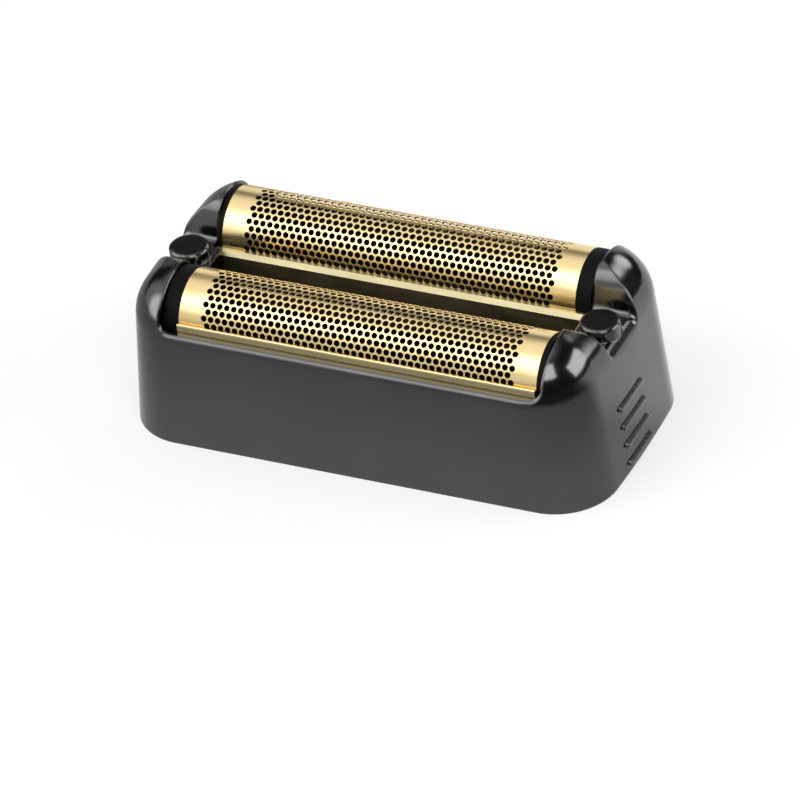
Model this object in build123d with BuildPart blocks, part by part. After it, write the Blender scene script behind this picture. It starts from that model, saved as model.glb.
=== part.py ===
"""Twin foil head of an electric shaver: a plated housing that holds two perforated, arched foils.

X runs along the foils, -Y is the front and +Z is up. The origin is the centre of the open base.
The rear half is the front half turned half a turn about Z, so the two foils are offset along X.
Sizes are in millimetres and angles in degrees.
"""

import os
from math import cos, radians, sin, tan

from build123d import *

# Foils
FOIL_LENGTH = 42.5
FOIL_SHIFT = 1.05          # the front foil's middle lies this far to the right
FOIL_RADIUS = 4.6
FOIL_THICKNESS = 0.2
FOIL_AXIS_Z = 14.4         # axis of the arch, above the base
FOIL_PLAIN_END = 2.6       # foil without holes, at each end
HOLE_LENGTH = 2.4          # along the foil
HOLE_WIDTH = 1.4           # round the arch
HOLE_PITCH = 4.0
HOLE_ROWS = 5
HOLE_ROW_ANGLE = 32.0

# Housing
HORN_DEPTH = 5.7           # from the nearer foil window to the end of the housing
HORN_PROUD = 0.5           # how far the horns stand above the foils
CORNER_RADIUS = 6.8        # upright corners
END_BOW = 0.6              # swell of each end wall between its corners
END_LEAN = 5.0             # lean of the end walls
CROWN_RADIUS = 5.8         # round over the outer shoulders of the horns
SIDE_WALL = 1.1            # front and rear walls
END_WALL = 2.4             # end walls, at the base
RIM_RISE = 0.25            # front and rear rims above the foils' axes
RIM_CORNER = 1.2           # inner corner between a rim and the foot of a horn
LIP_BEVEL = 0.25           # bevel along the rims and over the inner edges of the horns
VALLEY_RISE = 0.65         # deck between the horns of one end, above the foils' axes
VALLEY_SIDE_ROOM = 0.4     # deck on each side, beyond the inner rails
VALLEY_FLARE = 1.6         # how much wider the valley is at the horns' tops, on each side
VALLEY_ROOT_ROUND = 0.8    # inner corner along the deck's sides
VALLEY_BROW_ROUND = 3.0    # round from a horn's top into the valley
VALLEY_MOUTH_ROUND = 1.5   # round from the valley over the end wall
VALLEY_MOUTH_INSET = 2.7   # from the start of that round to the end of the housing
DECK_THICKNESS = 2.8
CHEEK_WIDE = 1.9           # window beyond the foil, at the far end
CHEEK_NARROW = 0.7         # window beyond the foil, at the near end
CORE_WALL = 1.3            # wall beside the hollow inside each horn
CORE_END_WALL = 3.3        # from that hollow to the end of the housing, at the base
CORE_WIDTH = 4.2
CORE_RISE = 1.05           # ceiling of that hollow, above the foils' axes

# Discs between the horns, and the screw bosses under them
DISC_RADIUS = 2.25
DISC_INSET = 4.05          # disc's centre to the end of the housing
DISC_RISE = 1.55           # disc above the deck
DISC_EDGE = 0.2
DISC_LEDGE = 0.6           # deck left in front of a disc
PILOT_RADIUS = 0.8
PILOT_DEPTH = 4.6

# Grip ribs on both end walls
RIB_COUNT = 4
RIB_LENGTH = 6.3
RIB_THICKNESS = 0.6
RIB_PROUD = 0.25
RIB_PITCH = 2.35
RIB_LOWEST = 0.9
RIB_SHIFT = 1.0            # towards the front on the right end
RIB_ROOT = 0.6             # how deep a rib starts inside the wall

# Catches for the shaver's neck, inside the end walls
CATCH_LENGTH = 8.0
CATCH_HEIGHT = 1.3
CATCH_DEPTH = 0.7
CATCH_LOW = 1.6

# Carriers
CARRIER_WALL = 0.85
CARRIER_RISE = 2.65        # side bars above their ledges
LEDGE_HEIGHT = 2.0
SPIGOT_LENGTH = 1.4        # how far the cheeks reach in under the foil
LUG_HEIGHT = 3.15
LUG_REACH = 1.1            # how far the lugs reach under the deck
LUG_WIDTH = 7.2

# Rails
RAIL_WALL = 0.35
OUTER_RAIL_RISE = 1.2      # outer rail above the foil's axis
OUTER_RAIL_ROUND = 0.15
INNER_RAIL_RISE = 0.2      # inner rail above the foil's axis
INNER_RAIL_FALL = 0.45     # slope of the inner rail's top
INNER_RAIL_WIDTH = 0.9
INNER_RAIL_SKIRT = 3.2     # height of the wall that the inner rail turns to the middle
INNER_RAIL_OVERRUN = 1.1   # inner rail beyond the foil, at the far end

# Retainer and its screws
RETAINER_THICKNESS = 1.8
SCREW_RADIUS = 0.75
SCREW_TIP_ROOM = 0.6       # left free at the end of the pilot hole
SCREW_HEAD_RADIUS = 1.5
SCREW_HEAD_HEIGHT = 1.0
SCREW_SLOT_WIDTH = 0.45
SCREW_SLOT_DEPTH = 0.4
SCREW_HOLE_RADIUS = 0.95

# Clearances
FIT = 0.05                 # between pieces that sit against each other
ROOM = 0.1                 # around the carriers, the retainer and the discs

# Places along X
FOIL_LEFT = FOIL_SHIFT - FOIL_LENGTH / 2
FOIL_RIGHT = FOIL_SHIFT + FOIL_LENGTH / 2
WINDOW_LEFT = FOIL_LEFT - CHEEK_WIDE
WINDOW_RIGHT = FOIL_RIGHT + CHEEK_NARROW
WINDOW_LENGTH = WINDOW_RIGHT - WINDOW_LEFT
HALF_LENGTH = WINDOW_RIGHT + HORN_DEPTH
CAVITY_HALF_LENGTH = HALF_LENGTH - END_WALL
DISC_X = HALF_LENGTH - DISC_INSET
MIDDLE_HALF_LENGTH = DISC_X - DISC_RADIUS - DISC_LEDGE

# Places along Y, measured from a foil's axis and then from the middle
FOIL_INSIDE = FOIL_RADIUS - FOIL_THICKNESS
BAR_OUTSIDE = FOIL_INSIDE - FIT
BAR_INSIDE = BAR_OUTSIDE - CARRIER_WALL
RAIL_INSIDE = FOIL_RADIUS + FIT
RAIL_OUTSIDE = RAIL_INSIDE + RAIL_WALL
INNER_RAIL_OUTSIDE = RAIL_INSIDE + INNER_RAIL_WIDTH
FOIL_Y = DISC_RADIUS + ROOM + INNER_RAIL_OUTSIDE
MIDDLE_HALF_WIDTH = FOIL_Y - INNER_RAIL_OUTSIDE - FIT
CAVITY_HALF_WIDTH = FOIL_Y + RAIL_OUTSIDE + FIT
HALF_WIDTH = CAVITY_HALF_WIDTH + SIDE_WALL
CAVITY_CORNER = CORNER_RADIUS - SIDE_WALL
VALLEY_HALF_WIDTH = FOIL_Y - RAIL_INSIDE + VALLEY_SIDE_ROOM

# Heights
HEIGHT = FOIL_AXIS_Z + FOIL_RADIUS + HORN_PROUD
RIM_HEIGHT = FOIL_AXIS_Z + RIM_RISE
VALLEY_FLOOR = FOIL_AXIS_Z + VALLEY_RISE
DECK_UNDERSIDE = VALLEY_FLOOR - DECK_THICKNESS
CORE_TOP = FOIL_AXIS_Z + CORE_RISE
DISC_TOP = VALLEY_FLOOR + DISC_RISE
CARRIER_FOOT = DECK_UNDERSIDE - FIT - LUG_HEIGHT
LEDGE_TOP = CARRIER_FOOT + LEDGE_HEIGHT
FOIL_FOOT = LEDGE_TOP + FIT
OUTER_RAIL_TOP = FOIL_AXIS_Z + OUTER_RAIL_RISE
INNER_RAIL_TOP = FOIL_AXIS_Z + INNER_RAIL_RISE
RETAINER_FOOT = CARRIER_FOOT - RETAINER_THICKNESS

# Planes of the front half, and the same planes turned round for the rear half
FACING_OUT = (Plane.XZ, Plane(origin=(0, 0, 0), x_dir=(-1, 0, 0), z_dir=(0, 1, 0)))
SEEN_FROM_ABOVE = (Plane.XY, Plane(origin=(0, 0, 0), x_dir=(-1, 0, 0), z_dir=(0, 0, 1)))
FROM_LOW_LEFT = (Align.MIN, Align.MIN)
QUARTER_TURN = 90

os.makedirs("parts", exist_ok=True)


def finish(piece, name):
    """Label a finished piece and write its STEP file."""
    piece.label = name
    export_step(piece, f"parts/{name}.step")


def foil_section(inset, foot, mode=Mode.ADD):
    """Arch of a foil, drawn smaller by the inset and closed along the foot."""
    half = FOIL_RADIUS - inset
    with BuildLine() as outline:
        arch = CenterArc((-FOIL_Y, FOIL_AXIS_Z), half, 0, 180)
        Polyline(arch @ 1, (-FOIL_Y - half, foot), (-FOIL_Y + half, foot), arch @ 0)
    make_face(outline.edges(), mode=mode)


def valley_section():
    """Section of the valley between the horns, open above."""
    brow = VALLEY_HALF_WIDTH + VALLEY_FLARE
    shelf = brow + VALLEY_BROW_ROUND
    above = HEIGHT + ROOM
    with BuildLine() as outline:
        Polyline(
            (-VALLEY_HALF_WIDTH, VALLEY_FLOOR),
            (VALLEY_HALF_WIDTH, VALLEY_FLOOR),
            (brow, HEIGHT),
            (shelf, HEIGHT),
            (shelf, above),
            (-shelf, above),
            (-shelf, HEIGHT),
            (-brow, HEIGHT),
            close=True,
        )
    make_face(outline.edges())
    fillet(vertices().group_by(Axis.Y)[0], VALLEY_ROOT_ROUND)
    fillet(vertices().filter_by_position(Axis.X, -brow, brow).group_by(Axis.Y)[-1], VALLEY_BROW_ROUND)


with BuildPart() as housing:
    # Loaf-shaped block: two halves drawn up along their leaning ends, cut level and crowned
    lean = radians(END_LEAN)
    end_u = HALF_LENGTH * cos(lean)
    corner_u = end_u - END_BOW
    for side in (-1, 1):
        leaning = Plane(
            origin=(0, 0, 0),
            x_dir=(side * cos(lean), 0, sin(lean)),
            z_dir=(-side * sin(lean), 0, cos(lean)),
        )
        with BuildSketch(leaning):
            with BuildLine():
                front = Line((-CORNER_RADIUS, -HALF_WIDTH), (corner_u, -HALF_WIDTH))
                end = ThreePointArc(front @ 1, (end_u, 0), (corner_u, HALF_WIDTH))
                Polyline(end @ 1, (-CORNER_RADIUS, HALF_WIDTH), front @ 0)
            make_face()
            fillet(vertices().group_by(Axis.X)[-1], CORNER_RADIUS)
        extrude(amount=2 * HEIGHT, both=True)
    with BuildSketch():
        Rectangle(4 * HALF_LENGTH, 4 * HALF_WIDTH)
    extrude(amount=HEIGHT, mode=Mode.INTERSECT)
    fillet(faces().sort_by(Axis.Z)[-1].edges(), CROWN_RADIUS)

    # Valley that parts the front horns from the rear ones, turned down over the end walls
    mouth_x = HALF_LENGTH - VALLEY_MOUTH_INSET
    mouth_z = VALLEY_FLOOR - VALLEY_MOUTH_ROUND
    with BuildSketch(Plane.YZ):
        valley_section()
    extrude(amount=mouth_x, both=True, mode=Mode.SUBTRACT)
    for side in (-1, 1):
        with BuildSketch(Plane.YZ.offset(side * mouth_x)):
            valley_section()
        turn_axis = Axis((side * mouth_x, 0, mouth_z), (0, side, 0))
        revolve(axis=turn_axis, revolution_arc=QUARTER_TURN, mode=Mode.SUBTRACT)

    # Gap between the left and the right horn, down to the rim, on each side
    for plane in FACING_OUT:
        with BuildSketch(plane.offset(MIDDLE_HALF_WIDTH)):
            with Locations((WINDOW_LEFT, RIM_HEIGHT)):
                Rectangle(WINDOW_LENGTH, HEIGHT, align=FROM_LOW_LEFT)
            fillet(vertices().group_by(Axis.Y)[0], RIM_CORNER)
        extrude(amount=2 * HALF_WIDTH, mode=Mode.SUBTRACT)

    # Bevelled lip along each rim and over the horns at its ends
    horn_faces = faces().filter_by(Axis.X).filter_by_position(Axis.Z, FOIL_AXIS_Z, HEIGHT)
    lip_seeds = [face.edges().sort_by(Axis.Z)[-1] for face in horn_faces]
    chamfer(lip_seeds, LIP_BEVEL)

    # Hollow from below, up to the deck under the horns
    with BuildSketch():
        RectangleRounded(2 * CAVITY_HALF_LENGTH, 2 * CAVITY_HALF_WIDTH, CAVITY_CORNER)
    extrude(amount=DECK_UNDERSIDE, mode=Mode.SUBTRACT)

    # Windows for the two foils, and the shorter opening between them
    for plane in SEEN_FROM_ABOVE:
        with BuildSketch(plane.offset(CARRIER_FOOT)):
            with Locations((WINDOW_LEFT, -CAVITY_HALF_WIDTH)):
                Rectangle(WINDOW_LENGTH, CAVITY_HALF_WIDTH - MIDDLE_HALF_WIDTH, align=FROM_LOW_LEFT)
        extrude(amount=HEIGHT, mode=Mode.SUBTRACT)
    with BuildSketch(Plane.XY.offset(DECK_UNDERSIDE)):
        Rectangle(2 * MIDDLE_HALF_LENGTH, 2 * MIDDLE_HALF_WIDTH)
    extrude(amount=HEIGHT, mode=Mode.SUBTRACT)

    # Hollows inside the horns
    core_y = VALLEY_HALF_WIDTH + CORE_WALL
    core_end = HALF_LENGTH - CORE_END_WALL
    for plane in SEEN_FROM_ABOVE:
        with BuildSketch(plane.offset(DECK_UNDERSIDE)):
            with Locations((-core_end, -core_y - CORE_WIDTH)):
                Rectangle(WINDOW_LEFT - CORE_WALL + core_end, CORE_WIDTH, align=FROM_LOW_LEFT)
            with Locations((WINDOW_RIGHT + CORE_WALL, -core_y - CORE_WIDTH)):
                Rectangle(core_end - WINDOW_RIGHT - CORE_WALL, CORE_WIDTH, align=FROM_LOW_LEFT)
        extrude(amount=CORE_TOP - DECK_UNDERSIDE, mode=Mode.SUBTRACT)

    # Discs on the deck, with the screw bosses below it
    with BuildSketch(Plane.XY.offset(CARRIER_FOOT)):
        with Locations((-DISC_X, 0), (DISC_X, 0)):
            Circle(DISC_RADIUS)
    extrude(amount=DISC_TOP - CARRIER_FOOT)
    disc_faces = faces().filter_by(Axis.Z).filter_by_position(Axis.Z, DISC_TOP - FIT, DISC_TOP + FIT)
    chamfer(disc_faces.edges(), DISC_EDGE)
    with BuildSketch(Plane.XY.offset(CARRIER_FOOT)):
        with Locations((-DISC_X, 0), (DISC_X, 0)):
            Circle(PILOT_RADIUS)
    extrude(amount=PILOT_DEPTH, mode=Mode.SUBTRACT)

    # Grip ribs, square to the leaning end walls
    for side in (-1, 1):
        for row in range(RIB_COUNT):
            rib_z = RIB_LOWEST + row * RIB_PITCH
            wall_x = HALF_LENGTH - rib_z * tan(lean)
            wall = Plane(
                origin=(side * wall_x, -side * RIB_SHIFT, rib_z),
                x_dir=(0, 1, 0),
                z_dir=(side * cos(lean), 0, sin(lean)),
            )
            with BuildSketch(wall.offset(-RIB_ROOT)):
                SlotOverall(RIB_LENGTH, RIB_THICKNESS)
            extrude(amount=RIB_ROOT + RIB_PROUD)

    # Catches for the neck
    for side in (-1, 1):
        with BuildSketch(Plane.YZ.offset(side * CAVITY_HALF_LENGTH)):
            with Locations((0, CATCH_LOW)):
                Rectangle(CATCH_LENGTH, CATCH_HEIGHT, align=(Align.CENTER, Align.MIN))
        extrude(amount=side * CATCH_DEPTH, mode=Mode.SUBTRACT)
finish(housing.part, "housing")


with BuildPart() as front_foil:
    with BuildSketch(Plane.YZ.offset(FOIL_LEFT)):
        foil_section(0, FOIL_FOOT)
        foil_section(FOIL_THICKNESS, FOIL_FOOT, Mode.SUBTRACT)
    extrude(amount=FOIL_LENGTH)

    # Rows of holes round the arch, every second row shifted by half a pitch
    columns = int((FOIL_LENGTH - 2 * FOIL_PLAIN_END) / HOLE_PITCH)
    for row in range(HOLE_ROWS):
        turn = radians((row - (HOLE_ROWS - 1) / 2) * HOLE_ROW_ANGLE)
        shift = (row % 2 - 0.5) * HOLE_PITCH / 2
        outward = Plane(
            origin=(FOIL_SHIFT + shift, -FOIL_Y, FOIL_AXIS_Z),
            x_dir=(1, 0, 0),
            z_dir=(0, sin(turn), cos(turn)),
        )
        with BuildSketch(outward):
            with GridLocations(HOLE_PITCH, 0, columns, 1):
                Rectangle(HOLE_LENGTH, HOLE_WIDTH)
        extrude(amount=FOIL_RADIUS + ROOM, mode=Mode.SUBTRACT)
finish(front_foil.part, "front_foil")


with BuildPart() as front_carrier:
    # Side bars with a ledge that carries the foil's feet and the rails
    with BuildSketch(Plane.YZ.offset(FOIL_LEFT)):
        for side in (-1, 1):
            with Locations((-FOIL_Y + side * BAR_INSIDE, CARRIER_FOOT)):
                inner = (Align.MIN if side > 0 else Align.MAX, Align.MIN)
                Rectangle(RAIL_OUTSIDE - BAR_INSIDE, LEDGE_HEIGHT, align=inner)
                Rectangle(CARRIER_WALL, LEDGE_HEIGHT + CARRIER_RISE, align=inner)
    extrude(amount=FOIL_LENGTH)

    # Arched cheeks at both ends, flush with the foil, each with a spigot under the foil's end
    with BuildSketch(Plane.YZ.offset(WINDOW_LEFT + ROOM)):
        foil_section(0, CARRIER_FOOT)
    extrude(amount=CHEEK_WIDE - ROOM - FIT)
    with BuildSketch(Plane.YZ.offset(WINDOW_RIGHT - ROOM)):
        foil_section(0, CARRIER_FOOT)
    extrude(amount=-(CHEEK_NARROW - ROOM - FIT))
    with BuildSketch(Plane.YZ.offset(FOIL_LEFT - FIT)):
        foil_section(FOIL_THICKNESS + FIT, CARRIER_FOOT)
    extrude(amount=SPIGOT_LENGTH + FIT)
    with BuildSketch(Plane.YZ.offset(FOIL_RIGHT + FIT)):
        foil_section(FOIL_THICKNESS + FIT, CARRIER_FOOT)
    extrude(amount=-(SPIGOT_LENGTH + FIT))

    # Lugs that the deck holds down
    with BuildSketch(Plane.XY.offset(CARRIER_FOOT)):
        with Locations((WINDOW_LEFT - LUG_REACH, -FOIL_Y)):
            Rectangle(LUG_REACH + CHEEK_WIDE - FIT, LUG_WIDTH, align=(Align.MIN, Align.CENTER))
        with Locations((WINDOW_RIGHT + LUG_REACH, -FOIL_Y)):
            Rectangle(LUG_REACH + CHEEK_NARROW - FIT, LUG_WIDTH, align=(Align.MAX, Align.CENTER))
    extrude(amount=LUG_HEIGHT)
finish(front_carrier.part, "front_carrier")


with BuildPart() as front_outer_rail:
    with BuildSketch(Plane.YZ.offset(FOIL_LEFT)):
        with Locations((-FOIL_Y - RAIL_INSIDE, FOIL_FOOT)):
            Rectangle(RAIL_WALL, OUTER_RAIL_TOP - FOIL_FOOT, align=(Align.MAX, Align.MIN))
        fillet(vertices().group_by(Axis.Y)[-1], OUTER_RAIL_ROUND)
    extrude(amount=FOIL_LENGTH)
finish(front_outer_rail.part, "front_outer_rail")


with BuildPart() as front_inner_rail:
    # Folded strip: a wall behind the foil's foot, a sloping top and a skirt towards the middle
    back = RAIL_INSIDE - FOIL_Y
    face = INNER_RAIL_OUTSIDE - FOIL_Y
    edge_z = INNER_RAIL_TOP - INNER_RAIL_FALL
    rail_left = FOIL_LEFT - INNER_RAIL_OVERRUN
    rail_right = WINDOW_RIGHT - ROOM
    with BuildSketch(Plane.YZ.offset(rail_left)):
        with BuildLine():
            Polyline(
                (back, FOIL_FOOT),
                (back, INNER_RAIL_TOP),
                (back + RAIL_WALL, INNER_RAIL_TOP),
                (face, edge_z),
                (face, edge_z - INNER_RAIL_SKIRT),
                (face - RAIL_WALL, edge_z - INNER_RAIL_SKIRT),
                (face - RAIL_WALL, edge_z - RAIL_WALL),
                (back + RAIL_WALL, edge_z - RAIL_WALL),
                (back + RAIL_WALL, FOIL_FOOT),
                close=True,
            )
        make_face()
    extrude(amount=rail_right - rail_left)
finish(front_inner_rail.part, "front_inner_rail")


with BuildPart() as retainer_frame:
    frame_length = 2 * (CAVITY_HALF_LENGTH - ROOM)
    frame_width = 2 * (CAVITY_HALF_WIDTH - ROOM)
    with BuildSketch(Plane.XY.offset(RETAINER_FOOT)):
        RectangleRounded(frame_length, frame_width, CAVITY_CORNER - ROOM)
        with Locations((-DISC_X, 0), (DISC_X, 0)):
            Circle(SCREW_HOLE_RADIUS, mode=Mode.SUBTRACT)
    extrude(amount=RETAINER_THICKNESS)
    # Slots for the cutters that run inside the foils
    for plane in SEEN_FROM_ABOVE:
        with BuildSketch(plane.offset(RETAINER_FOOT)):
            with Locations((FOIL_SHIFT, -FOIL_Y)):
                Rectangle(FOIL_LENGTH - 2 * SPIGOT_LENGTH, 2 * BAR_INSIDE)
        extrude(amount=RETAINER_THICKNESS, mode=Mode.SUBTRACT)
finish(retainer_frame.part, "retainer_frame")


with BuildPart() as retainer_screws:
    shank = RETAINER_THICKNESS + PILOT_DEPTH - SCREW_TIP_ROOM
    with BuildSketch(Plane.XY.offset(RETAINER_FOOT)):
        with Locations((-DISC_X, 0), (DISC_X, 0)):
            Circle(SCREW_HEAD_RADIUS)
    extrude(amount=-SCREW_HEAD_HEIGHT)
    with BuildSketch(Plane.XY.offset(RETAINER_FOOT - SCREW_HEAD_HEIGHT)):
        with Locations((-DISC_X, 0), (DISC_X, 0)):
            Rectangle(SCREW_SLOT_WIDTH, 2 * SCREW_HEAD_RADIUS)
    extrude(amount=SCREW_SLOT_DEPTH, mode=Mode.SUBTRACT)
    with BuildSketch(Plane.XY.offset(RETAINER_FOOT)):
        with Locations((-DISC_X, 0), (DISC_X, 0)):
            Circle(SCREW_RADIUS)
    extrude(amount=shank)
finish(retainer_screws.part, "retainer_screws")


# Rear half: the same pieces, turned half a turn
for front_piece, name in (
    (front_foil, "rear_foil"),
    (front_carrier, "rear_carrier"),
    (front_outer_rail, "rear_outer_rail"),
    (front_inner_rail, "rear_inner_rail"),
):
    with BuildPart() as rear_piece:
        add(front_piece.part, rotation=(0, 0, 180))
    finish(rear_piece.part, name)
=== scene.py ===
"""Looks of the twin foil head: perforated gold foils, black chrome housing and a white studio."""

import math

import bpy
from mathutils import Matrix, Vector


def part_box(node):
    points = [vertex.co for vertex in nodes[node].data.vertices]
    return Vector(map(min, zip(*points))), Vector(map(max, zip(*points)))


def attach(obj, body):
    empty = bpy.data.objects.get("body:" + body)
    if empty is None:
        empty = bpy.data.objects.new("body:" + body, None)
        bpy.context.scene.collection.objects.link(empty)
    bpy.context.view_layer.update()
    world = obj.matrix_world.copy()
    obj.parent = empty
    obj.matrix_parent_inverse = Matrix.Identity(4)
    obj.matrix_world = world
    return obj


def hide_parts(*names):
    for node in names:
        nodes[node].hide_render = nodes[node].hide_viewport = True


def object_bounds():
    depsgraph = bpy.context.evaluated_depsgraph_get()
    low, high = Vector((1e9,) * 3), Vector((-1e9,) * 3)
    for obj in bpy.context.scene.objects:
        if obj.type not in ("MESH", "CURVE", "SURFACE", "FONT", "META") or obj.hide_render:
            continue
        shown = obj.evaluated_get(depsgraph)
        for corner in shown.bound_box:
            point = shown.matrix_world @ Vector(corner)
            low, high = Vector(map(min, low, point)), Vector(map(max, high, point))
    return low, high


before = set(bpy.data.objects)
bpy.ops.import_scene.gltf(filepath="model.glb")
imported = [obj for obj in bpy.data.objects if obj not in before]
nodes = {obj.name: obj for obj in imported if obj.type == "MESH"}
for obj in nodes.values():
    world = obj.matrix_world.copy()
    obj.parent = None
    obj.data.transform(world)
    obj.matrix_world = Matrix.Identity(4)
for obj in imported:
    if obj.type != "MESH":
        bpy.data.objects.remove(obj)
cad_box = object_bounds()
scene = bpy.context.scene

# Lengths are in metres and angles in degrees. Azimuth 0 is the front, 90 the right.
MM = 0.001
MICRON = 0.000001

# Perforation of the foils
FOIL_THICKNESS = 0.05 * MM
HOLE_PITCH = 0.84 * MM      # along the foil
HOLE_ROW = 0.79 * MM        # round the arch
HOLE_RADIUS = 0.355 * MM
HOLE_SIDES = 12
PLAIN_END = 2.55 * MM       # least sheet without holes at each end, as a mean of the staggered rows
SHARP_ANGLE = 40            # faces that meet at more than this keep a sharp edge
POINT_GRID = 1e7            # steps to the metre by which the sheet's points are told apart
THINNEST = 0.01 * MICRON    # narrower bands of the sheet are left out

# Materials
NOISE_RANGE = 0.3, 0.7      # part of a noise's values that is spread over shades and roughness
METAL_BROAD = 0.12          # scale of the broad shades of a metal, as a share of its grain's
PLASTIC_BROAD = 0.08
PLASTIC_SHEEN = 0.08
EDGE_SAMPLES = 6            # samples for an edge that is softened in the shading

# Floor
FLOOR_REACH = 6.0           # half of its width
FLOOR_SHADES = (0.93, 0.93, 0.93), (0.95, 0.95, 0.95)
FLOOR_GRAIN = 3.0
FLOOR_ROUGHNESS = 0.9
FLOOR_GLOW = 0.6            # share of plain white in what the camera sees
FLOOR_SHINE = 0.66, 0.42    # brightness in reflections, at the object and away from it
SHINE_REACH = 24 * MM       # distance at which the second brightness is reached
FOOT_CORNER = 7 * MM        # rounding of the object's footprint
FOOT_FADE = 1 * MM          # width inside the footprint's edge over which the glow ends
POOL_EDGE = 21 * MM         # distance from the object at which reflections start to grow dark
POOL_FADE = 14 * MM         # width over which they grow dark
DARK_AZIMUTH = 42           # middle of the dark sector
DARK_SECTOR = 0.45, 0.85    # cosines of the angles from its middle where it starts and is full
DARKNESS = 0.85             # share of the brightness that is lost there
BRIGHT_AZIMUTH = 150        # middle of the sector that is white in reflections
BRIGHT_SECTOR = 0.3, 0.8

# Light
SKY_BASE = 0.045            # brightness of the studio outside the glows
GLOWS = (                   # azimuth, elevation, inner and outer reach, brightness
    (-85, 72, 14, 52, 0.95),
    (-33, 46, 8, 27, 2.0),
    (-63, 20, 10, 26, 3.4),
    (-25, 5, 12, 34, 0.7),
    (-92, 18, 8, 24, 0.8),
    (-158, 8, 8, 27, 0.9),
    (166, 29, 5, 15, 4.0),
)
SOFTBOXES = (               # name, azimuth, elevation, spans as seen from the object, brightness
    ("front_right", 42, 45, (28, 30), 3.8),
    ("right_back", 112, 24, (42, 27), 4.0),
)
LAMP_DISTANCE = 0.6
LAMP_AIM = 12 * MM          # height of the place that the lamps look at

# Camera of the photograph
AZIMUTH, ELEVATION, ROLL = 27.66, 36.00, -6.42
DISTANCE = 824.8 * MM
FOCAL_PIXELS = 7469.0
IMAGE = 800                 # pixels along each side of the picture
ORIGIN_PIXEL = (405.82, 404.23)
SENSOR_WIDTH = 36           # in millimetres, as Blender counts it
CLIP = 0.01, 50


def towards(azimuth, elevation):
    """Unit vector from the object to a place around it."""
    turn, lift = math.radians(azimuth), math.radians(elevation)
    return Vector((
        math.sin(turn) * math.cos(lift),
        -math.cos(turn) * math.cos(lift),
        math.sin(lift),
    ))


# Nodes

def noise(tree, scale, detail=3.0, stretch=(1, 1, 1)):
    """Noise over the object's own coordinates, with its features stretched along an axis."""
    place = tree.nodes.new("ShaderNodeTexCoord")
    scaled = tree.nodes.new("ShaderNodeMapping")
    scaled.inputs["Scale"].default_value = stretch
    made = tree.nodes.new("ShaderNodeTexNoise")
    made.inputs["Scale"].default_value = scale
    made.inputs["Detail"].default_value = detail
    tree.links.new(place.outputs["Object"], scaled.inputs["Vector"])
    tree.links.new(scaled.outputs["Vector"], made.inputs["Vector"])
    return made.outputs["Fac"]


def shades(tree, value, dark, light):
    """A noise value as a colour between two shades."""
    made = tree.nodes.new("ShaderNodeValToRGB")
    for stop, position, shade in zip(made.color_ramp.elements, NOISE_RANGE, (dark, light)):
        stop.position = position
        stop.color = (*shade, 1)
    tree.links.new(value, made.inputs["Fac"])
    return made.outputs["Color"]


def remap(tree, value, start, stop, low, high, shape="SMOOTHSTEP"):
    """A number that goes from low to high while a value goes from start to stop."""
    made = tree.nodes.new("ShaderNodeMapRange")
    made.interpolation_type = shape
    made.inputs["From Min"].default_value = start
    made.inputs["From Max"].default_value = stop
    made.inputs["To Min"].default_value = low
    made.inputs["To Max"].default_value = high
    tree.links.new(value, made.inputs["Value"])
    return made.outputs["Result"]


def relief(tree, value, height, edge=0.0):
    """A fine bump from a noise value, over edges that are softened by a radius."""
    made = tree.nodes.new("ShaderNodeBump")
    made.inputs["Distance"].default_value = height
    tree.links.new(value, made.inputs["Height"])
    if edge:
        soft = tree.nodes.new("ShaderNodeBevel")
        soft.samples = EDGE_SAMPLES
        soft.inputs["Radius"].default_value = edge
        tree.links.new(soft.outputs["Normal"], made.inputs["Normal"])
    return made.outputs["Normal"]


def chain(tree, operation, first, second=None):
    """A math node on one or two values, each a socket or a number."""
    made = tree.nodes.new("ShaderNodeMath")
    made.operation = operation
    for socket, value in zip(made.inputs, (first, second)):
        if isinstance(value, (int, float)):
            socket.default_value = value
        elif value is not None:
            tree.links.new(value, socket)
    return made.outputs["Value"]


def facing(tree, heading, azimuth, elevation=0):
    """Cosine of the angle between a heading of length one and a place around the object."""
    made = tree.nodes.new("ShaderNodeVectorMath")
    made.operation = "DOT_PRODUCT"
    made.inputs[1].default_value = towards(azimuth, elevation)
    tree.links.new(heading, made.inputs[0])
    return made.outputs["Value"]


# Materials

def material(name):
    """A node material: returns it with its node tree and its shader."""
    made = bpy.data.materials.new(name)
    made.use_nodes = True
    tree = made.node_tree
    return made, tree, tree.nodes["Principled BSDF"]


def texture(tree, shader, broad, fine, dark, light, rough, bump, edge=0.0):
    """Shades over a broad noise, and roughness and bump over a fine one."""
    tree.links.new(shades(tree, broad, dark, light), shader.inputs["Base Color"])
    roughness = remap(tree, fine, *NOISE_RANGE, *rough, shape="LINEAR")
    tree.links.new(roughness, shader.inputs["Roughness"])
    tree.links.new(relief(tree, fine, bump, edge), shader.inputs["Normal"])


def metal(name, dark, light, rough, grain, bump, stretch=(1, 1, 1), edge=0.0):
    """A plated metal: two close shades, a roughness range and a fine grain."""
    made, tree, shader = material(name)
    shader.inputs["Metallic"].default_value = 1.0
    broad = noise(tree, grain * METAL_BROAD, detail=2.0)
    fine = noise(tree, grain, detail=3.0, stretch=stretch)
    texture(tree, shader, broad, fine, dark, light, rough, bump, edge)
    return made


def plastic(name, dark, light, rough, grain, bump):
    """A moulded plastic with a fine spark-eroded grain."""
    made, tree, shader = material(name)
    shader.inputs["Specular IOR Level"].default_value = PLASTIC_SHEEN
    fine = noise(tree, grain, detail=4.0)
    broad = noise(tree, grain * PLASTIC_BROAD, detail=2.0)
    texture(tree, shader, broad, fine, dark, light, rough, bump)
    return made


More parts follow.
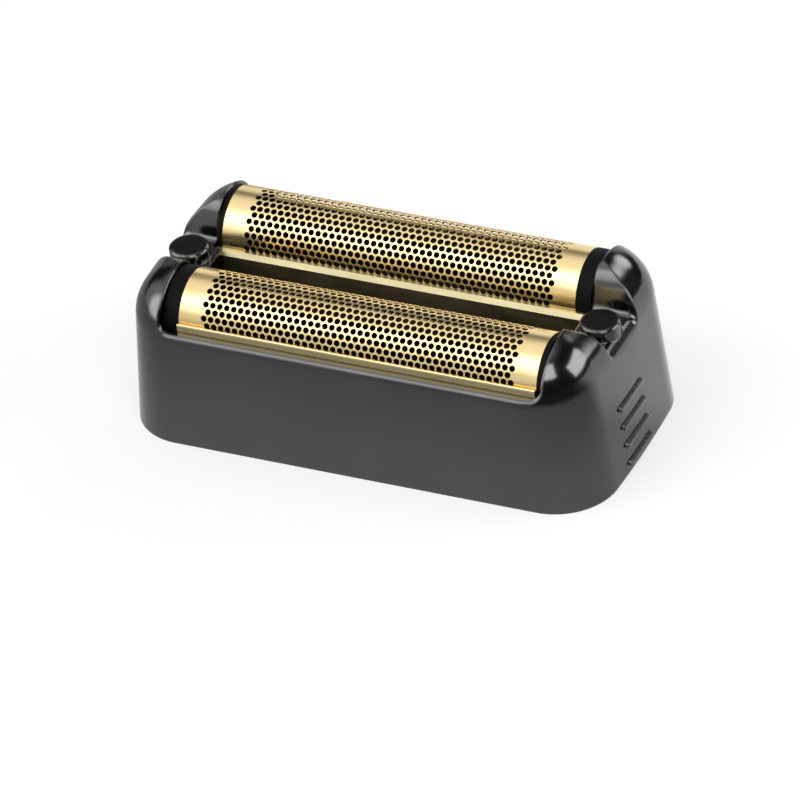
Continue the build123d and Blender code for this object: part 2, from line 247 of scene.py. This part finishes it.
def gold(name, dark, light, rough):
    """Gold plating, drawn along the foils."""
    return metal(name, dark, light, rough, grain=1400, bump=1.0 * MICRON, stretch=(0.2, 1, 1))


black_chrome = metal(
    "black_chrome", (0.111, 0.111, 0.112), (0.119, 0.119, 0.120), rough=(0.12, 0.15),
    grain=900, bump=0.4 * MICRON, edge=0.4 * MM,
)
gold_foil = gold("gold_foil", (0.93, 0.71, 0.34), (0.98, 0.77, 0.40), rough=(0.22, 0.30))
gold_rail = gold("gold_rail", (0.84, 0.69, 0.37), (0.90, 0.75, 0.42), rough=(0.12, 0.20))
# The inner rails' plating is a darker copy of the outer rails' gold: painted shade, which stands in
# for the dimmer reflections they show in the valley between the foils.
inner_rail = gold("gold_rail_inner_painted_shade", (0.42, 0.37, 0.22), (0.47, 0.41, 0.25), rough=(0.36, 0.46))
screw_steel = metal(
    "screw_steel", (0.46, 0.46, 0.45), (0.56, 0.55, 0.54), rough=(0.25, 0.4),
    grain=2500, bump=2.0 * MICRON, stretch=(1, 0.1, 1),
)
black_plastic = plastic(
    "black_plastic", (0.003, 0.003, 0.003), (0.005, 0.005, 0.005), rough=(0.5, 0.62),
    grain=2600, bump=4.0 * MICRON,
)
frame_plastic = plastic(
    "frame_plastic", (0.018, 0.018, 0.019), (0.026, 0.026, 0.027), rough=(0.45, 0.6),
    grain=1800, bump=6.0 * MICRON,
)


def dress(node, finish):
    """Give a CAD node one material."""
    slots = node.data.materials
    slots.clear()
    slots.append(finish)


dress(nodes["housing"], black_chrome)
for side in ("front", "rear"):
    dress(nodes[f"{side}_carrier"], black_plastic)
    dress(nodes[f"{side}_outer_rail"], gold_rail)
    dress(nodes[f"{side}_inner_rail"], inner_rail)
dress(nodes["retainer_frame"], frame_plastic)
dress(nodes["retainer_screws"], screw_steel)


# Foils

def perforated_foil(name, node):
    """Thin arched sheet with staggered round holes, in the place of a CAD foil.

    On the sheet, x runs along the foil and s round its arch: s is the arc length from the crown,
    below zero to the front. Layer 0 is the outer face and layer 1 the inner one.
    """
    low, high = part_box(node)
    radius = (high[1] - low[1]) / 2
    axis_y = (high[1] + low[1]) / 2
    axis_z = high[2] - radius
    leg = axis_z - low[2]
    arch = math.pi * radius
    foot = arch / 2 + leg
    ends = (low[0], high[0])
    middle_x = (low[0] + high[0]) / 2
    rows = int(arch / HOLE_ROW)
    columns = int((high[0] - low[0] - 2 * PLAIN_END) / HOLE_PITCH)
    half = HOLE_PITCH / 2
    near = middle_x - columns * half - half / 2
    far = middle_x + columns * half + half / 2
    verts, faces, known = [], [], {}

    def on_sheet(x, s, depth):
        """Point of the sheet, at a depth below its outer face."""
        reach = radius - depth
        turn = s / radius
        if abs(turn) <= math.pi / 2:
            return (x, axis_y + reach * math.sin(turn), axis_z + reach * math.cos(turn))
        return (x, axis_y + math.copysign(1, turn) * reach, axis_z - (abs(s) - arch / 2))

    def vertex(x, s, layer):
        """Number of the vertex at a place, which is made when it is first asked for."""
        key = (round(x * POINT_GRID), round(s * POINT_GRID), layer)
        if key not in known:
            known[key] = len(verts)
            verts.append(on_sheet(x, s, layer * FOIL_THICKNESS))
        return known[key]

    def cell(xs, s0, s1):
        """Outline of a cell between two lines, with a corner at each x on both of them."""
        return [(x, s0) for x in xs] + [(x, s1) for x in xs[::-1]]

    def rim_of(x, s, start):
        """Points round the hole at a place, from the turn called start."""
        turns = [start + 2 * math.pi * k / HOLE_SIDES for k in range(HOLE_SIDES)]
        return [(x + HOLE_RADIUS * math.cos(t), s + HOLE_RADIUS * math.sin(t)) for t in turns]

    def patch(outline, hole=None):
        """One cell of the sheet, with its hole, on both faces."""
        for layer in (0, 1):
            ring = [vertex(x, s, layer) for x, s in outline]
            if hole is None:
                faces.append(ring if layer == 0 else ring[::-1])
                continue
            rim = [vertex(x, s, layer) for x, s in hole]
            count, outer = len(rim), len(ring)
            step = count // outer
            for i in range(outer):
                fan = [rim[(i * step + k) % count] for k in range(step + 1)]
                piece = [ring[i], ring[(i + 1) % outer], *fan[::-1]]
                faces.append(piece if layer == 0 else piece[::-1])
        if hole is not None:
            for a, b in zip(hole, hole[1:] + hole[:1]):
                faces.append([vertex(*a, 0), vertex(*b, 0), vertex(*b, 1), vertex(*a, 1)])

    def edge_band(a, b, turned):
        """Strip across the sheet's thickness between two places on its edge."""
        band = [vertex(*a, 0), vertex(*b, 0), vertex(*b, 1), vertex(*a, 1)]
        faces.append(band[::-1] if turned else band)

    # Rows of holes, with the plain sheet at both ends of each row
    levels = [-rows * HOLE_ROW / 2 + HOLE_ROW * i for i in range(rows + 1)]
    for row, (s0, s1) in enumerate(zip(levels, levels[1:])):
        staggered = row % 2
        centre_s = (s0 + s1) / 2
        left = near + staggered * half
        for column in range(columns):
            x0 = left + column * HOLE_PITCH
            x1, x2 = x0 + half, x0 + 2 * half
            start = math.atan2(s0 - centre_s, x0 - x1)
            patch(cell([x0, x1, x2], s0, s1), rim_of(x1, centre_s, start))
        right = left + columns * HOLE_PITCH
        patch(cell([ends[0], near, near + half] if staggered else [ends[0], near], s0, s1))
        patch(cell([far, ends[1]] if staggered else [right, far, ends[1]], s0, s1))

    # Plain sheet from the last rows of holes down to the feet
    across = [ends[0], *(near + half * i for i in range(2 * columns + 2)), ends[1]]
    for outer, inner in ((-foot, levels[0]), (foot, levels[-1])):
        lines = [outer, math.copysign(arch / 2, outer), inner]
        for pair in zip(lines, lines[1:]):
            s0, s1 = min(pair), max(pair)
            if s1 - s0 < THINNEST:
                continue
            for x0, x1 in zip(across, across[1:]):
                patch(cell([x0, x1], s0, s1))

    # Edges of the sheet
    line = [-foot, -arch / 2, *levels, arch / 2, foot]
    for x in ends:
        for s0, s1 in zip(line, line[1:]):
            if s1 - s0 >= THINNEST:
                edge_band((x, s0), (x, s1), turned=x > middle_x)
    for s in (-foot, foot):
        for x0, x1 in zip(across, across[1:]):
            edge_band((x0, s), (x1, s), turned=s < 0)

    mesh = bpy.data.meshes.new(name)
    mesh.from_pydata(verts, [], faces)
    mesh.validate()
    mesh.shade_smooth()
    mesh.set_sharp_from_angle(angle=math.radians(SHARP_ANGLE))
    made = bpy.data.objects.new(name, mesh)
    scene.collection.objects.link(made)
    mesh.materials.append(gold_foil)
    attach(made, "root")
    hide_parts(node)


perforated_foil("front_foil_sheet", "front_foil")
perforated_foil("rear_foil_sheet", "rear_foil")


# Studio

def footprint_distance(tree, place):
    """Distance of a place on the floor from the object's footprint, below zero inside it."""
    parts = tree.nodes.new("ShaderNodeSeparateXYZ")
    tree.links.new(place, parts.inputs["Vector"])
    squares = []
    for axis, half in (("X", cad_box[1][0]), ("Y", cad_box[1][1])):
        outward = chain(tree, "ABSOLUTE", parts.outputs[axis])
        past = chain(tree, "SUBTRACT", outward, half - FOOT_CORNER)
        beyond = chain(tree, "MAXIMUM", past, 0.0)
        squares.append(chain(tree, "MULTIPLY", beyond, beyond))
    from_corner = chain(tree, "SQRT", chain(tree, "ADD", *squares))
    return chain(tree, "SUBTRACT", from_corner, FOOT_CORNER)


def floor_material():
    """Pale and shadow-keeping; white to the camera, and dark to the front right in reflections."""
    made, tree, shader = material("pale_floor")
    links = tree.links
    shader.inputs["Roughness"].default_value = FLOOR_ROUGHNESS
    shader.inputs["Specular IOR Level"].default_value = 0.0
    colour = shades(tree, noise(tree, FLOOR_GRAIN), *FLOOR_SHADES)
    links.new(colour, shader.inputs["Base Color"])

    place = tree.nodes.new("ShaderNodeTexCoord").outputs["Object"]
    distance = footprint_distance(tree, place)
    heading = tree.nodes.new("ShaderNodeVectorMath")
    heading.operation = "NORMALIZE"
    links.new(place, heading.inputs[0])
    to_dark = facing(tree, heading.outputs["Vector"], DARK_AZIMUTH)
    to_bright = facing(tree, heading.outputs["Vector"], BRIGHT_AZIMUTH)

    # Brightness in reflections
    dark_side = remap(tree, to_dark, *DARK_SECTOR, 0.0, 1.0)
    darkness = remap(tree, distance, POOL_EDGE, POOL_EDGE + POOL_FADE, 0.0, DARKNESS)
    kept = chain(tree, "SUBTRACT", 1.0, chain(tree, "MULTIPLY", dark_side, darkness))
    bright_side = remap(tree, to_bright, *BRIGHT_SECTOR, 0.0, 1.0)
    shine = remap(tree, distance, 0.0, SHINE_REACH, *FLOOR_SHINE)
    mirrored = chain(tree, "MULTIPLY", kept, chain(tree, "MAXIMUM", shine, bright_side))

    # Glow, whole in reflections and a share for the camera, outside the footprint
    path = tree.nodes.new("ShaderNodeLightPath")
    by_camera = path.outputs["Is Camera Ray"]
    camera_share = chain(tree, "MULTIPLY", by_camera, FLOOR_GLOW)
    seen = chain(tree, "MAXIMUM", camera_share, path.outputs["Is Glossy Ray"])
    outside = remap(tree, distance, -FOOT_FADE, 0.0, 0.0, 1.0)
    glow = tree.nodes.new("ShaderNodeEmission")
    both = tree.nodes.new("ShaderNodeMixShader")
    links.new(chain(tree, "MAXIMUM", by_camera, mirrored), glow.inputs["Strength"])
    links.new(chain(tree, "MULTIPLY", seen, outside), both.inputs["Fac"])
    links.new(shader.outputs["BSDF"], both.inputs[1])
    links.new(glow.outputs["Emission"], both.inputs[2])
    links.new(both.outputs["Shader"], tree.nodes["Material Output"].inputs["Surface"])
    return made


def floor():
    """Wide level floor that the object stands on."""
    mesh = bpy.data.meshes.new("floor")
    corners = ((-1, -1), (1, -1), (1, 1), (-1, 1))
    mesh.from_pydata([(x * FLOOR_REACH, y * FLOOR_REACH, 0) for x, y in corners], [], [(0, 1, 2, 3)])
    made = bpy.data.objects.new("floor", mesh)
    scene.collection.objects.link(made)
    mesh.materials.append(floor_material())


def sky():
    """A dim studio with soft bright places, white to the camera."""
    world = bpy.data.worlds.new("studio")
    scene.world = world
    world.use_nodes = True
    tree = world.node_tree
    heading = tree.nodes.new("ShaderNodeTexCoord").outputs["Generated"]
    total = SKY_BASE
    for azimuth, elevation, inner, outer, strength in GLOWS:
        start, stop = math.cos(math.radians(outer)), math.cos(math.radians(inner))
        nearness = facing(tree, heading, azimuth, elevation)
        total = chain(tree, "ADD", remap(tree, nearness, start, stop, 0.0, strength), total)
    path = tree.nodes.new("ShaderNodeLightPath")
    total = chain(tree, "MAXIMUM", total, path.outputs["Is Camera Ray"])
    background = tree.nodes["Background"]
    background.inputs["Color"].default_value = (1, 1, 1, 1)
    tree.links.new(total, background.inputs["Strength"])


def softbox(name, azimuth, elevation, spans, strength):
    """A rectangular lamp that looks at the object."""
    lamp = bpy.data.lights.new(name, "AREA")
    lamp.shape = "RECTANGLE"
    lamp.size, lamp.size_y = (2 * LAMP_DISTANCE * math.tan(math.radians(span / 2)) for span in spans)
    lamp.energy = strength * lamp.size * lamp.size_y * math.pi
    made = bpy.data.objects.new(name, lamp)
    scene.collection.objects.link(made)
    away = towards(azimuth, elevation)
    made.location = away * LAMP_DISTANCE + Vector((0, 0, LAMP_AIM))
    made.rotation_mode = "QUATERNION"
    made.rotation_quaternion = away.to_track_quat("Z", "Y")


floor()
sky()
for box in SOFTBOXES:
    softbox(*box)


# Camera

turn, roll = math.radians(AZIMUTH), math.radians(ROLL)
back = towards(AZIMUTH, ELEVATION)
level = Vector((math.cos(turn), math.sin(turn), 0))
upright = back.cross(level)
right = level * math.cos(roll) + upright * math.sin(roll)
upward = upright * math.cos(roll) - level * math.sin(roll)
lens = bpy.data.cameras.new("camera")
lens.sensor_width = SENSOR_WIDTH
lens.lens = FOCAL_PIXELS / IMAGE * SENSOR_WIDTH
lens.shift_x = (IMAGE / 2 - ORIGIN_PIXEL[0]) / IMAGE
lens.shift_y = (ORIGIN_PIXEL[1] - IMAGE / 2) / IMAGE
lens.clip_start, lens.clip_end = CLIP
camera = bpy.data.objects.new("camera", lens)
scene.collection.objects.link(camera)
turned = Matrix((right, upward, back)).transposed().to_4x4()
camera.matrix_world = Matrix.Translation(back * DISTANCE) @ turned
scene.camera = camera
scene.view_settings.view_transform = "Standard"
